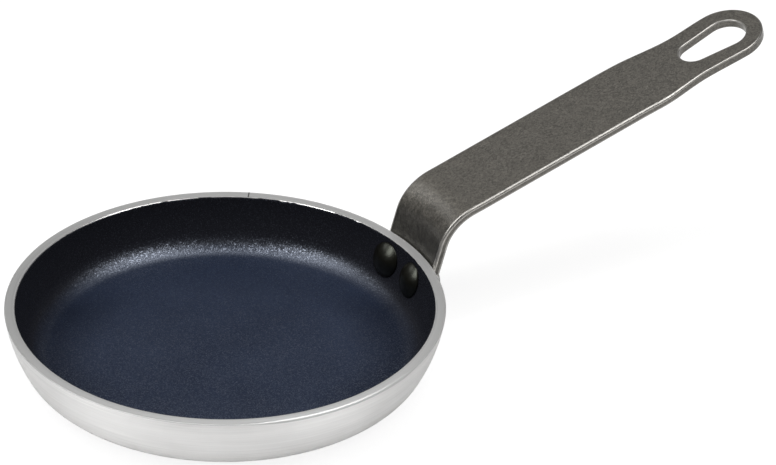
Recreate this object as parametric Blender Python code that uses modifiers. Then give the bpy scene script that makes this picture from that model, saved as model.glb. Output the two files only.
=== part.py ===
"""Blini pan: a small turned aluminium pan with a dark lining and a bent bar handle on two rivets.

Units are metres and +Z is up. The origin is the centre of the flat base, and the handle
points along +X. Lengths below are written in millimetres times MM.
"""
import math

import bmesh
import bpy
from mathutils import Matrix, Vector

MM = 0.001

# Pan body: the outer wall is one wide arc above a corner arc, and the inner wall is the same form
PAN_RADIUS = 60.0 * MM
PAN_HEIGHT = 18.0 * MM
RIM_WIDTH = 2.8 * MM
RIM_EDGE_RADIUS = 0.45 * MM
WALL_TOP_SLOPE = math.radians(80.7)
WALL_LOW_SLOPE = math.radians(62.5)
BASE_CORNER_RADIUS = 9.4 * MM
FLOOR_THICKNESS = 3.2 * MM
INNER_LOW_SLOPE = math.radians(66.0)
INNER_CORNER_RADIUS = 7.0 * MM

# Lining: a thin layer inside the body that stops just under the rim
LINING_THICKNESS = 0.3 * MM
LINING_BELOW_RIM = 0.7 * MM

# Handle: a flat bar whose foot is rolled round the wall, bent outward, with a waist and a round end
BAR_WIDTH = 24.4 * MM
BAR_THICKNESS = 2.5 * MM
BAR_EDGE_RADIUS = 1.1 * MM
PUNCHED_EDGE_RADIUS = 0.3 * MM
FOOT_SLOPE = math.radians(73.0)
FOOT_BELOW_RIVETS = 6.8 * MM
FOOT_CORNER_RADIUS = 5.0 * MM
BEND_HEIGHT = 30.2 * MM
BEND_RADIUS = 12.4 * MM
GRIP_SLOPE = math.radians(15.2)
GRIP_LENGTH = 110.7 * MM
ROLL_RUNOUT = 5.0 * MM
TIP_RADIUS = 10.7 * MM
WAIST_WIDTH = 20.4 * MM
WAIST_FROM_TIP = 23.4 * MM
SHOULDER_LENGTH = 17.0 * MM

# Hanging slot: a long hole that widens towards the tip
SLOT_LENGTH = 21.0 * MM
SLOT_WIDE_RADIUS = 5.85 * MM
SLOT_NARROW_RADIUS = 4.45 * MM
SLOT_FROM_TIP = 4.9 * MM

# Rivets: two, side by side, each with a domed head inside and outside
RIVET_SPACING = 13.6 * MM
RIVET_HEIGHT = 11.0 * MM
RIVET_SHANK_RADIUS = 2.4 * MM
RIVET_HEAD_RADIUS = 4.95 * MM
RIVET_HEAD_HEIGHT = 2.45 * MM
RIVET_HEAD_EDGE = 0.3 * MM

# Clearances between pieces that touch on the real pan
SEAT_GAP = 0.3 * MM
HOLE_GAP = 0.3 * MM

# Fineness of the round shapes
TURN_STEPS = 80
RIVET_STEPS = 32
WIDE_ARC_STEPS = 6
CORNER_ARC_STEPS = 5
RIM_ARC_STEPS = 3
DOME_STEPS = 5
BEND_STEPS = 10
FOOT_STEPS = 5
RUNOUT_STEPS = 3
ROLL_STEPS = 8
OUTLINE_STEPS = 14
BEVEL_STEPS = 3
MERGE = 0.01 * MM
SIDE_ANGLE = math.radians(60)
SHARP_ANGLE = math.radians(35)


def clear_scene():
    for item in list(bpy.data.objects):
        bpy.data.objects.remove(item, do_unlink=True)


def new_collection(name):
    collection = bpy.data.collections.new(name)
    bpy.context.scene.collection.children.link(collection)
    return collection


def new_material(name, color, metallic, roughness):
    material = bpy.data.materials.new(name)
    material.use_nodes = True
    shader = material.node_tree.nodes["Principled BSDF"]
    shader.inputs["Base Color"].default_value = (*color, 1.0)
    shader.inputs["Metallic"].default_value = metallic
    shader.inputs["Roughness"].default_value = roughness
    return material


def new_object(name, mesh, collection, material=None):
    item = bpy.data.objects.new(name, mesh)
    collection.objects.link(item)
    if material:
        mesh.materials.append(material)
    return item


def spread(start, end, steps):
    """Evenly spaced values from start to end, with both ends."""
    return [start + (end - start) * i / steps for i in range(steps + 1)]


def smooth(share):
    """0 to 1 with a soft start and end, held at both ends."""
    share = min(max(share, 0.0), 1.0)
    return share * share * (3 - 2 * share)


def out_of(slope):
    """The outward normal, as (radius, height), of a wall face that rises outward at the slope."""
    return Vector((math.sin(slope), -math.cos(slope)))


class Wall:
    """One face of the wall: a wide arc from the top slope to the low slope, then a corner arc to level."""

    def __init__(self, top_radius, top_z, bottom_z, low_slope, corner_radius):
        join_z = bottom_z + corner_radius * (1 - math.cos(low_slope))
        self.radius = (top_z - join_z) / (math.cos(low_slope) - math.cos(WALL_TOP_SLOPE))
        self.centre = Vector((top_radius, top_z)) - out_of(WALL_TOP_SLOPE) * self.radius
        self.top_z = top_z
        self.low_slope = low_slope
        self.corner_radius = corner_radius
        self.corner_centre = self.centre + out_of(low_slope) * (self.radius - corner_radius)

    def profile(self, inward, below_top=0.0):
        """Points (radius, height) from the top to the flat's edge, moved inward off the face."""
        first_slope = math.acos((self.centre.y - self.top_z + below_top) / self.radius)
        points = [self.centre + out_of(slope) * (self.radius - inward)
                  for slope in spread(first_slope, self.low_slope, WIDE_ARC_STEPS)]
        points += [self.corner_centre + out_of(slope) * (self.corner_radius - inward)
                   for slope in spread(self.low_slope, 0.0, CORNER_ARC_STEPS)[1:]]
        return points


OUTER_WALL = Wall(PAN_RADIUS, PAN_HEIGHT - RIM_EDGE_RADIUS, 0.0, WALL_LOW_SLOPE, BASE_CORNER_RADIUS)
INNER_WALL = Wall(PAN_RADIUS - RIM_WIDTH, PAN_HEIGHT, FLOOR_THICKNESS, INNER_LOW_SLOPE, INNER_CORNER_RADIUS)


def turned(name, profile, steps, collection, material):
    """A solid of revolution about Z from a profile that starts and ends on the axis."""
    mesh = bpy.data.meshes.new(name)
    edges = [(i, i + 1) for i in range(len(profile) - 1)]
    mesh.from_pydata([(r, 0.0, z) for r, z in profile], edges, [])
    item = new_object(name, mesh, collection, material)
    screw = item.modifiers.new("turn", 'SCREW')
    screw.axis = 'Z'
    screw.angle = 2 * math.pi
    screw.steps = steps
    screw.render_steps = steps
    screw.use_merge_vertices = True
    screw.merge_threshold = MERGE
    screw.use_smooth_shade = True
    return item


def body_profile():
    """From the middle of the cooking floor, up the inside, over the rim and down to the base."""
    inside = [(0.0, FLOOR_THICKNESS)] + INNER_WALL.profile(0.0)[::-1]
    rim = []
    for angle in spread(math.pi / 2, 0.0, RIM_ARC_STEPS)[:-1]:
        rim.append((PAN_RADIUS - RIM_EDGE_RADIUS + RIM_EDGE_RADIUS * math.cos(angle),
                    PAN_HEIGHT - RIM_EDGE_RADIUS + RIM_EDGE_RADIUS * math.sin(angle)))
    return inside + rim + OUTER_WALL.profile(0.0) + [(0.0, 0.0)]


def lining_profile():
    """From the middle of the cooking face, up to the top edge and down the hidden face."""
    hidden = INNER_WALL.profile(SEAT_GAP, LINING_BELOW_RIM)
    cooking = INNER_WALL.profile(SEAT_GAP + LINING_THICKNESS, LINING_BELOW_RIM)
    return [(0.0, cooking[-1].y)] + cooking[::-1] + hidden + [(0.0, hidden[-1].y)]


# The handle's path in the XZ plane: the foot, the bend and the straight grip

FOOT_ALONG = Vector((math.cos(FOOT_SLOPE), math.sin(FOOT_SLOPE)))
FOOT_OUT = out_of(FOOT_SLOPE)
FOOT_SEAT = OUTER_WALL.centre + FOOT_OUT * (OUTER_WALL.radius + SEAT_GAP)
FOOT_MIDDLE = FOOT_SEAT + FOOT_OUT * BAR_THICKNESS / 2
CORNER = FOOT_MIDDLE + FOOT_ALONG * (BEND_HEIGHT - FOOT_MIDDLE.y) / FOOT_ALONG.y
TURN = FOOT_SLOPE - GRIP_SLOPE
CORNER_TO_BEND = BEND_RADIUS * math.tan(TURN / 2)
RIVET_POINT = FOOT_SEAT + FOOT_ALONG * (RIVET_HEIGHT - FOOT_SEAT.y) / FOOT_ALONG.y
RIVET_MIDDLE = RIVET_POINT + FOOT_OUT * BAR_THICKNESS / 2
FOOT_END = RIVET_MIDDLE - FOOT_ALONG * FOOT_BELOW_RIVETS
FOOT_LENGTH = (CORNER - FOOT_END).length - CORNER_TO_BEND
BEND_LENGTH = BEND_RADIUS * TURN
BEND_END = FOOT_LENGTH + BEND_LENGTH
BLANK_LENGTH = BEND_END + GRIP_LENGTH - CORNER_TO_BEND
TIP_CENTRE = BLANK_LENGTH - TIP_RADIUS
WAIST_AT = BLANK_LENGTH - WAIST_FROM_TIP


def path_point(along):
    """The middle plane's point and upper normal at a length along the flat blank."""
    slope = FOOT_SLOPE - min(max((along - FOOT_LENGTH) / BEND_RADIUS, 0.0), TURN)
    bend_centre = CORNER - FOOT_ALONG * CORNER_TO_BEND + FOOT_OUT * BEND_RADIUS
    straight = min(along - FOOT_LENGTH, 0.0) + max(along - BEND_END, 0.0)
    onward = Vector((math.cos(slope), math.sin(slope)))
    return bend_centre - out_of(slope) * BEND_RADIUS + onward * straight, -out_of(slope)


def bent(flat):
    """A point of the flat blank (along, across, height) carried to its place on the pan.

    The foot is rolled round the pan's axis, and the roll fades out past the bend.
    """
    middle, normal = path_point(flat.x)
    place = middle + normal * flat.z
    angle = flat.y / middle.x
    rolled = Vector((place.x * math.cos(angle), place.x * math.sin(angle), place.y))
    level = Vector((place.x, flat.y, place.y))
    return rolled.lerp(level, smooth((flat.x - FOOT_LENGTH) / (BEND_LENGTH + ROLL_RUNOUT)))


def half_width(along):
    """Half the bar's width: the parallel grip, the shoulder down to the waist, the swell to the tip."""
    narrow = WAIST_WIDTH / 2
    if along <= WAIST_AT:
        return narrow + (BAR_WIDTH / 2 - narrow) * smooth((WAIST_AT - along) / SHOULDER_LENGTH)
    return narrow + (TIP_RADIUS - narrow) * smooth((along - WAIST_AT) / (TIP_CENTRE - WAIST_AT))


def outline():
    """The blank's outline, anticlockwise from the foot's lower corner."""
    half = BAR_WIDTH / 2
    side = []
    for angle in spread(-math.pi, -math.pi / 2, OUTLINE_STEPS // 2):
        side.append((FOOT_CORNER_RADIUS + FOOT_CORNER_RADIUS * math.cos(angle),
                     -half + FOOT_CORNER_RADIUS + FOOT_CORNER_RADIUS * math.sin(angle)))
    for along in spread(WAIST_AT - SHOULDER_LENGTH, WAIST_AT, OUTLINE_STEPS):
        side.append((along, -half_width(along)))
    for along in spread(WAIST_AT, TIP_CENTRE, OUTLINE_STEPS // 2)[1:]:
        side.append((along, -half_width(along)))
    for angle in spread(-math.pi / 2, 0.0, OUTLINE_STEPS)[1:]:
        side.append((TIP_CENTRE + TIP_RADIUS * math.cos(angle), TIP_RADIUS * math.sin(angle)))
    return side + [(x, -y) for x, y in side[-2::-1]]


def slot_outline():
    """Two end arcs joined by the straight lines that touch both."""
    wide_at = BLANK_LENGTH - SLOT_FROM_TIP - SLOT_WIDE_RADIUS
    narrow_at = BLANK_LENGTH - SLOT_FROM_TIP - SLOT_LENGTH + SLOT_NARROW_RADIUS
    lean = math.asin((SLOT_WIDE_RADIUS - SLOT_NARROW_RADIUS) / (wide_at - narrow_at))
    points = []
    for angle in spread(-math.pi / 2 - lean, math.pi / 2 + lean, OUTLINE_STEPS):
        points.append((wide_at + SLOT_WIDE_RADIUS * math.cos(angle), SLOT_WIDE_RADIUS * math.sin(angle)))
    for angle in spread(math.pi / 2 + lean, 3 * math.pi / 2 - lean, OUTLINE_STEPS):
        points.append((narrow_at + SLOT_NARROW_RADIUS * math.cos(angle),
                       SLOT_NARROW_RADIUS * math.sin(angle)))
    return points


def add_loop(curve, points):
    spline = curve.splines.new('POLY')
    spline.points.add(len(points) - 1)
    for point, (x, y) in zip(spline.points, points):
        point.co = (x, y, 0.0, 1.0)
    spline.use_cyclic_u = True


def cut_across(mesh, position, normal, reach):
    """Adds a line of vertices across the faces that lie below the reach along X."""
    faces = [face for face in mesh.faces if face.calc_center_median().x < reach]
    edges = {edge for face in faces for edge in face.edges}
    verts = {vert for face in faces for vert in face.verts}
    bmesh.ops.bisect_plane(mesh, geom=faces + list(edges) + list(verts), dist=MERGE / 10,
                           plane_co=position, plane_no=normal)


def weigh_edges(shape):
    """Marks how much of the bevel each edge takes.

    The bar stock has round edges, and the end that is punched past the shoulder has crisp ones.
    """
    weight = shape.edges.layers.float.new("bevel_weight_edge")
    punched = PUNCHED_EDGE_RADIUS / BAR_EDGE_RADIUS
    for edge in shape.edges:
        if edge.calc_face_angle(0.0) > SIDE_ANGLE:
            along = (edge.verts[0].co.x + edge.verts[1].co.x) / 2
            edge[weight] = 1.0 + (punched - 1.0) * smooth(1.0 + (along - WAIST_AT) / SHOULDER_LENGTH)


def bent_bar(name, collection, material):
    """The flat blank, divided where it will bend, then carried point by point to its bent place."""
    curve = bpy.data.curves.new(name + "_blank", 'CURVE')
    curve.dimensions = '2D'
    curve.fill_mode = 'BOTH'
    curve.extrude = BAR_THICKNESS / 2
    add_loop(curve, outline())
    add_loop(curve, slot_outline())
    blank = bpy.data.objects.new(name + "_blank", curve)
    collection.objects.link(blank)
    flat = blank.evaluated_get(bpy.context.evaluated_depsgraph_get())
    mesh = bpy.data.meshes.new_from_object(flat)
    place = blank.matrix_world.copy()
    bpy.data.objects.remove(blank)
    shape = bmesh.new()
    shape.from_mesh(mesh)
    bmesh.ops.remove_doubles(shape, verts=shape.verts, dist=MERGE)
    bmesh.ops.dissolve_limit(shape, angle_limit=0.001, verts=shape.verts, edges=shape.edges)
    stations = spread(0.0, FOOT_LENGTH, FOOT_STEPS)[1:]
    stations += spread(FOOT_LENGTH, BEND_END, BEND_STEPS)[1:]
    stations += spread(BEND_END, BEND_END + ROLL_RUNOUT, RUNOUT_STEPS)[1:]
    for along in stations:
        cut_across(shape, (along, 0, 0), (1, 0, 0), BLANK_LENGTH)
    for across in spread(-BAR_WIDTH / 2, BAR_WIDTH / 2, ROLL_STEPS)[1:-1]:
        cut_across(shape, (0, across, 0), (0, 1, 0), BEND_END + ROLL_RUNOUT)
    bmesh.ops.recalc_face_normals(shape, faces=shape.faces)
    weigh_edges(shape)
    for vert in shape.verts:
        vert.co = bent(vert.co)
    shape.to_mesh(mesh)
    shape.free()
    mesh.name = name
    item = new_object(name, mesh, collection, material)
    item.matrix_world = place
    bevel = item.modifiers.new("rounded_edges", 'BEVEL')
    bevel.width = BAR_EDGE_RADIUS
    bevel.segments = BEVEL_STEPS
    bevel.limit_method = 'WEIGHT'
    bevel.use_clamp_overlap = False
    return item


# Rivets: each has its own frame, with Z along the shank, out of the pan

def rivet_frame(side):
    """The rivet's place: origin where its axis meets the foot's inner face, Z pointing outward."""
    angle = side * RIVET_SPACING / 2 / RIVET_MIDDLE.x
    tilt = Matrix.Rotation(math.pi - FOOT_SLOPE, 4, 'Y')
    shift = Matrix.Translation((RIVET_POINT.x, 0.0, RIVET_POINT.y))
    return Matrix.Rotation(angle, 4, 'Z') @ shift @ tilt


def depth_to_lining():
    """How far in along the rivet's axis the cooking face's wide arc lies."""
    from_centre = RIVET_POINT - INNER_WALL.centre
    ahead = from_centre.dot(FOOT_OUT)
    arc_radius = INNER_WALL.radius - SEAT_GAP - LINING_THICKNESS
    return ahead - math.sqrt(ahead ** 2 - from_centre.length_squared + arc_radius ** 2)


def head_arc(base, top):
    """The dome from its edge at the base to the axis at the top, as (radius, distance out)."""
    rise = top - base
    sphere = (RIVET_HEAD_RADIUS ** 2 + rise ** 2) / (2 * rise)
    widest = math.asin(RIVET_HEAD_RADIUS / sphere)
    return [(sphere * math.sin(angle), top - sphere + sphere * math.cos(angle))
            for angle in spread(widest, 0.0, DOME_STEPS)]


def rivet_profile():
    """From the top of the outer head, down the shank, to the top of the inner head.

    The inner head's underside slopes away from the hollow wall that it sits on.
    """
    outer_base = BAR_THICKNESS + SEAT_GAP
    inner_base = depth_to_lining() + SEAT_GAP
    wall_radius = RIVET_POINT.x - inner_base
    hollow = wall_radius - math.sqrt(wall_radius ** 2 - RIVET_HEAD_RADIUS ** 2)
    outer = head_arc(outer_base + RIVET_HEAD_EDGE, outer_base + RIVET_HEAD_HEIGHT)
    inner = head_arc(inner_base + hollow + RIVET_HEAD_EDGE, inner_base + RIVET_HEAD_HEIGHT)
    points = outer[::-1]
    points += [(RIVET_HEAD_RADIUS, outer_base), (RIVET_SHANK_RADIUS, outer_base)]
    points += [(RIVET_SHANK_RADIUS, -inner_base), (RIVET_HEAD_RADIUS, -inner_base - hollow)]
    return points + [(radius, -out) for radius, out in inner]


def hole_cutter(side, collection):
    """A cylinder along the rivet's axis, wider than the shank by the hole's gap."""
    shape = bmesh.new()
    radius = RIVET_SHANK_RADIUS + HOLE_GAP
    length = 2 * (depth_to_lining() + BAR_THICKNESS + RIVET_HEAD_HEIGHT)
    bmesh.ops.create_cone(shape, cap_ends=True, segments=RIVET_STEPS, radius1=radius, radius2=radius,
                          depth=length)
    name = "rivet_hole_left" if side > 0 else "rivet_hole_right"
    mesh = bpy.data.meshes.new(name)
    shape.to_mesh(mesh)
    shape.free()
    cutter = new_object(name, mesh, collection)
    cutter.matrix_world = rivet_frame(side)
    cutter.display_type = 'WIRE'
    cutter.hide_render = True
    return cutter


def drill(item, cutters):
    for cutter in cutters:
        cut = item.modifiers.new(cutter.name, 'BOOLEAN')
        cut.operation = 'DIFFERENCE'
        cut.solver = 'EXACT'
        cut.object = cutter


def shade(item):
    item.data.shade_smooth()
    item.data.set_sharp_from_angle(angle=SHARP_ANGLE)


def main():
    clear_scene()
    pan = new_collection("blini_pan")
    cutting = new_collection("cutters")
    aluminium = new_material("brushed_aluminium", (0.66, 0.66, 0.65), 1.0, 0.35)
    lining = new_material("dark_lining", (0.016, 0.020, 0.034), 0.0, 0.42)
    coated_bar = new_material("grey_speckled_bar", (0.10, 0.10, 0.092), 0.6, 0.45)
    rivet_skin = new_material("rivet_skin", (0.028, 0.028, 0.024), 0.4, 0.28)

    frame = bpy.data.objects.new("pan_frame", None)
    pan.objects.link(frame)
    body = turned("pan_body", body_profile(), TURN_STEPS, pan, aluminium)
    coating = turned("nonstick_lining", lining_profile(), TURN_STEPS, pan, lining)
    handle = bent_bar("handle", pan, coated_bar)
    shade(handle)
    cutters = [hole_cutter(1, cutting), hole_cutter(-1, cutting)]
    for item in (body, coating, handle):
        drill(item, cutters)
        item.parent = frame
    for side, name in ((1, "rivet_left"), (-1, "rivet_right")):
        rivet = turned(name, rivet_profile(), RIVET_STEPS, pan, rivet_skin)
        rivet.matrix_world = rivet_frame(side)
        rivet.parent = frame


main()
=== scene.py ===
"""Looks of the blini pan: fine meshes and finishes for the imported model, with floor, lamps and camera.

Units are metres, +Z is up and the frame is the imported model's: the origin is the centre of the
flat base, and the handle points along +X. Lengths are written in millimetres times MM. Bearings
are degrees about Z, counted from the handle toward +Y.
"""

import math
import random

import bmesh
import bpy
from mathutils import Matrix, Quaternion, Vector


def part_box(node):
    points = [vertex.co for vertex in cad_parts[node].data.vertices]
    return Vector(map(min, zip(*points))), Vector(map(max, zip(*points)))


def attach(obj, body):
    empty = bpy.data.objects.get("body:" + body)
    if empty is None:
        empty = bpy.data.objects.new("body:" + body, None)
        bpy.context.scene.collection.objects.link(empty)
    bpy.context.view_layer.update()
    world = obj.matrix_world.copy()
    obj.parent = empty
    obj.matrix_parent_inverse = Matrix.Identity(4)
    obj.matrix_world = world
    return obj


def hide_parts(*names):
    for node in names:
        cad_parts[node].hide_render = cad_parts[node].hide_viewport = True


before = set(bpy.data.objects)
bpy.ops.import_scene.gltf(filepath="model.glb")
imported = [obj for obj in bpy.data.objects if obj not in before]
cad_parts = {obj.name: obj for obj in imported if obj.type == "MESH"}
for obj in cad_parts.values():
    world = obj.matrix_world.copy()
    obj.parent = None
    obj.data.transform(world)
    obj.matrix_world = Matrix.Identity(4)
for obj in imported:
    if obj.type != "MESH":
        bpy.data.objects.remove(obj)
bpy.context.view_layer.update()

MM = 0.001

# Pan body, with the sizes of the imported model
PAN_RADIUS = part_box("pan_body")[1].x
PAN_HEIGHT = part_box("pan_body")[1].z
RIM_WIDTH = 2.8 * MM
RIM_EDGE_RADIUS = 0.45 * MM
WALL_TOP_SLOPE = math.radians(80.7)
WALL_LOW_SLOPE = math.radians(62.5)
BASE_CORNER_RADIUS = 9.4 * MM
FLOOR_THICKNESS = 3.2 * MM
INNER_LOW_SLOPE = math.radians(66.0)
INNER_CORNER_RADIUS = 7.0 * MM

# Outer edge of the rim: crisp, with one soft stretch
RIM_EDGE_CRISP = 0.22 * MM
RIM_EDGE_SOFT = 0.75 * MM
SOFT_EDGE_FROM = -116.0
SOFT_EDGE_TO = -58.0
SOFT_EDGE_RUN = 12.0

# Inner lip of the rim: crisp, with one worn stretch, and bare where it is rounded off
LIP_CRISP = 0.06 * MM
LIP_WORN = 0.13 * MM
WORN_LIP_FROM = 77.0
WORN_LIP_TO = 156.0
WORN_LIP_RUN = 12.0
BARE_LIP_DEPTH = 0.03 * MM
BARE_LIP_START = 0.01 * MM
BARE_LIP_BLEND = 0.1 * MM

# Nick across the rim
NICK_BEARING = 53.7
NICK_HALF_WIDTH = 0.12 * MM

# Coating inside the pan: up to each bearing, its ragged top edge ends this far below the rim
COATING_THICKNESS = 0.08 * MM
COATING_EDGE = ((-9.0, 0.04 * MM), (-7.5, 0.20 * MM), (18.8, 0.04 * MM), (20.0, 0.20 * MM), (28.0, 0.04 * MM),
                (39.9, 0.15 * MM), (41.0, 0.04 * MM), (42.0, 0.16 * MM), (42.8, 0.04 * MM), (44.8, 0.32 * MM),
                (51.2, 0.04 * MM), (64.1, 0.14 * MM), (67.9, 0.02 * MM), (76.7, 0.20 * MM), (78.4, 0.02 * MM),
                (88.1, 0.13 * MM), (108.0, 0.17 * MM), (150.0, 0.14 * MM), (351.0, 0.06 * MM))
COATING_EDGE_JITTER = 0.025 * MM
COATING_EDGE_SEED = 4

# Handle
BAR_WIDTH = 24.3 * MM
BAR_THICKNESS = 2.5 * MM
BAR_EDGE_RADIUS = 0.78 * MM
BAR_LOWER_EDGE_RADIUS = 0.72 * MM
LOWER_EDGE_RUN = 25.0 * MM
PUNCHED_EDGE_RADIUS = 0.42 * MM
PUNCHED_LOWER_EDGE_RADIUS = 0.25 * MM
FOOT_SLOPE = math.radians(73.0)
FOOT_BELOW_RIVETS = 6.8 * MM
FOOT_CORNER_RADIUS = 5.0 * MM
BEND_HEIGHT = 30.17 * MM
BEND_RADIUS = 12.4 * MM
GRIP_SLOPE = math.radians(15.17)
ROLL_RUNOUT = 5.0 * MM
TIP_RADIUS = 10.7 * MM
WAIST_WIDTH = 20.4 * MM
WAIST_FROM_TIP = 23.4 * MM
SHOULDER_LENGTH = 18.0 * MM
WAIST_OFFSET = 0.32 * MM
TIP_OFFSET = 0.12 * MM
OFFSET_RUN = 14.0 * MM
SLOT_LENGTH = 21.0 * MM
SLOT_WIDE_RADIUS = 5.85 * MM
SLOT_NARROW_RADIUS = 4.45 * MM
SLOT_FROM_TIP = 4.9 * MM

# Rivets
RIVET_SPACING = 13.6 * MM
RIVETS_OFFSET = 0.3 * MM
RIVET_HEIGHT = 11.0 * MM
RIVET_SHANK_RADIUS = 2.4 * MM
RIVET_HEAD_RADIUS = 4.95 * MM
RIVET_HEAD_HEIGHT = 2.45 * MM
OUTER_HEAD_HEIGHT = 3.4 * MM
RIVET_HEAD_EDGE = 0.25 * MM

# Fits: the pieces touch here, apart from a hair that keeps their faces from crossing
HAIR = 0.02 * MM
RIVET_HOLE_PLAY = 0.05 * MM
RIVET_HOLE_RADIUS = RIVET_SHANK_RADIUS + RIVET_HOLE_PLAY
DRILL_DEPTH = 20 * MM

# Fineness: the pairs are the steps of a wall's wide arc and of its corner arc
TURN_STEPS = 288
COATING_STEPS = 576
INNER_WALL_STEPS = (20, 16)
OUTER_WALL_STEPS = (28, 22)
COATING_BACK_STEPS = (12, 16)
COATING_FACE_STEPS = (20, 24)
LIP_STEPS = 6
RIM_EDGE_STEPS = 8
RIVET_STEPS = 64
HEAD_STEPS = 16
HOLE_STEPS = 32
GRIP_STEPS = 20
GRIP_ROWS = 6
BEND_STEPS = 28
FOOT_STEPS = 12
RUNOUT_STEPS = 8
ROLL_STEPS = 20
OUTLINE_STEPS = 40
BEVEL_SEGMENTS = 5
MERGE = 0.004 * MM
LEVEL_ANGLE = 0.001
SHARP_ANGLE = math.radians(60)

# Rings of points that keep the flat faces flat beside their edges
FLAT_RING_RADIUS = 20 * MM
RIM_INNER_RING = 0.3 * MM
RIM_OUTER_RING = 0.2 * MM
BASE_RING = 0.3 * MM
CUTS_SHORT_OF_SLOT = 3 * MM

# Colours, as the darker and the lighter one where there are two
WALL_COLORS = ((0.79, 0.785, 0.778), (0.95, 0.945, 0.937))
RIM_COLORS = ((0.54, 0.54, 0.535), (0.69, 0.69, 0.685))
NICK_COLOR = (0.12, 0.12, 0.12)
BARE_LIP_COLOR = (0.95, 0.94, 0.92)
# The coated floor is lighter and bluer than the coated wall: the coating's own colour with painted sheen of
# its flakes
COATED_FLOOR_AND_SHEEN_COLORS = ((0.0108, 0.0156, 0.0300), (0.0226, 0.0312, 0.0556))
# Painted shade on the coated floor toward the wall, beyond the rubbed stretch
PAINTED_SHADE_FLOOR_COLOR = (0.003, 0.004, 0.008)
COATED_WALL_COLOR = (0.0142, 0.0148, 0.0192)
COATING_SHEEN_TINT = (0.75, 0.83, 1.0, 1.0)
BAR_COLORS = ((0.087, 0.082, 0.071), (0.214, 0.200, 0.174))
# The bar's rounded edges are lighter than its faces: partly abraded, partly painted highlight
BAR_EDGE_ABRADED_AND_HIGHLIGHT_COLORS = ((0.285, 0.277, 0.26), (0.355, 0.341, 0.318))
DARK_HEAD_COLORS = ((0.002, 0.002, 0.001), (0.005, 0.004, 0.003))
DARK_HEAD_SHEEN_TINT = (0.95, 1.0, 0.86, 1.0)
BARE_HEAD_COLORS = ((0.58, 0.60, 0.57), (0.70, 0.72, 0.69))

# Values between which most of a noise lies
NOISE_LOW = 0.3
NOISE_HIGH = 0.7

# Roughness, from the smoother to the rougher places
WALL_ROUGHNESS = (0.46, 0.58)
RIM_ROUGHNESS = (0.50, 0.60)
COATING_ROUGHNESS = (0.34, 0.40)
DARK_HEAD_ROUGHNESS = (0.28, 0.33)
BARE_HEAD_ROUGHNESS = (0.28, 0.42)

# Looks of the rim: painted light makes it lighter toward one side
RIM_PAINTED_LIGHT_TOWARD = (0.48, -0.877, 0.0)
RIM_LINES_SHARE = 0.3
BARE_LIP_SMOOTHER = 0.25

# Looks of the coating: its corner is rubbed across the pan and less in the middle of that stretch
RUBBED_FROM = 3.6 * MM
RUBBED_TO = 5.4 * MM
RUBBED_END = 8.4 * MM
RUBBED_ACROSS = (0.5, 0.866, 0.0)
RUBBED_BESIDE = (0.866, -0.5, 0.0)
RUBBED_REACH = (23 * MM, 40 * MM)
RUBBED_SHINE = (0.07, 0.36)
MIDDLE_REACH = (4 * MM, 20 * MM)
MIDDLE_SHINE = (0.74, 1.0)
LEAST_SHINE = 0.02
GLINT_SHARPNESS = 6.0
GLINT_GAIN = 2.2
GLINT_UNRUBBED = 0.22
GLITTER_BASE = 0.68
FLOOR_TONES = (0.2, 0.8)
# Painted shade on the coated floor toward the wall, beyond both ends of the rubbed stretch
PAINTED_SHADE_RADII = (34 * MM, 46 * MM)
PAINTED_SHADE_REACH = (20 * MM, 32 * MM)
PAINTED_SHADE_SHARE = 0.5
# Up the wall, the floor's colour with its painted flake sheen gives way to the wall's colour
WALL_TONE_FROM = 5.6 * MM

# Looks of the bar: painted shade, blotchy, below a cloudy height near the pan, and a painted highlight on
# edges that slope up
SHADE_EDGE_PER_HEIGHT = 55.0
SHADE_EDGE_CLOUD = 0.8
PAINTED_SHADE_UP_TO = 1.6
PAINTED_SHADE_GONE_FROM = 2.1
PAINTED_SHADE_DARKER = 0.72
PAINTED_SHADE_LIGHTER = 1.48
# Slopes of the painted highlight on the bar's edges, by the up part of their normal
HIGHLIGHT_SLOPES = (0.02, 0.22, 0.38, 0.62)
ROUGHNESS_SPREAD = 0.08
SPECKLE_TONES = (0.25, 0.75)
BLOTCH_TONES = (0.35, 0.65)
ROUGH_TONES = (0.2, 0.8)

# Camera: its focal length is in pixels of a frame this wide
FRAME_WIDTH = 776
FOCAL_PIXELS = 5485.6
SENSOR_WIDTH = 36.0
CAMERA_AZIMUTH = math.radians(-31.83)
CAMERA_ELEVATION = math.radians(31.15)
CAMERA_ROLL = math.radians(0.97)
CAMERA_DISTANCE = 1500 * MM
CAMERA_RIGHT = 43.87 * MM
CAMERA_UP = 35.66 * MM
CAMERA_CLIP_END = 50

# Lamps: name, degrees from the zenith, bearing, spin in degrees, size in metres, brightness per area
LAMPS_AIM = Vector((30 * MM, 0.0, 15 * MM))
LAMP_DISTANCE = 1200 * MM
LAMPS = (("softbox_right", 23.8, -38.0, -43.0, (0.44, 1.16), 6.2),
         ("softbox_left", 32.6, 163.0, 27.0, (0.48, 1.20), 5.5),
         ("softbox_back", 53.0, 121.0, 0.0, (0.54, 0.36), 1.7))

# Room: its light outside and in the middle of a pale backdrop, and the cosine at the backdrop's edge
ROOM_LIGHT = 0.05
BACKDROP_LIGHT = 0.50
BACKDROP_BEARING = 62.0
BACKDROP_ELEVATION = 24.0
BACKDROP_EDGE = 0.86

# White sheet that the pan stands on: as it lights the pan, as it is seen and as it is mirrored
SHEET_REACH = 15.0
SHEET_DROP = 0.05 * MM
SHEET_GREY = 0.85
SEEN_SHEET_GREY = 0.2
SEEN_SHEET_GLOW = 0.87
MIRRORED_SHEET_GREY = 0.82
FRONT_BEARING = -125.0
FRONT_NEAR = 34 * MM
FRONT_FAR = 74 * MM
FRONT_GLOW = (0.02, 0.27)


def spread(start, end, steps):
    """Evenly spaced values from start to end, with both ends."""
    return [start + (end - start) * i / steps for i in range(steps + 1)]


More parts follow.
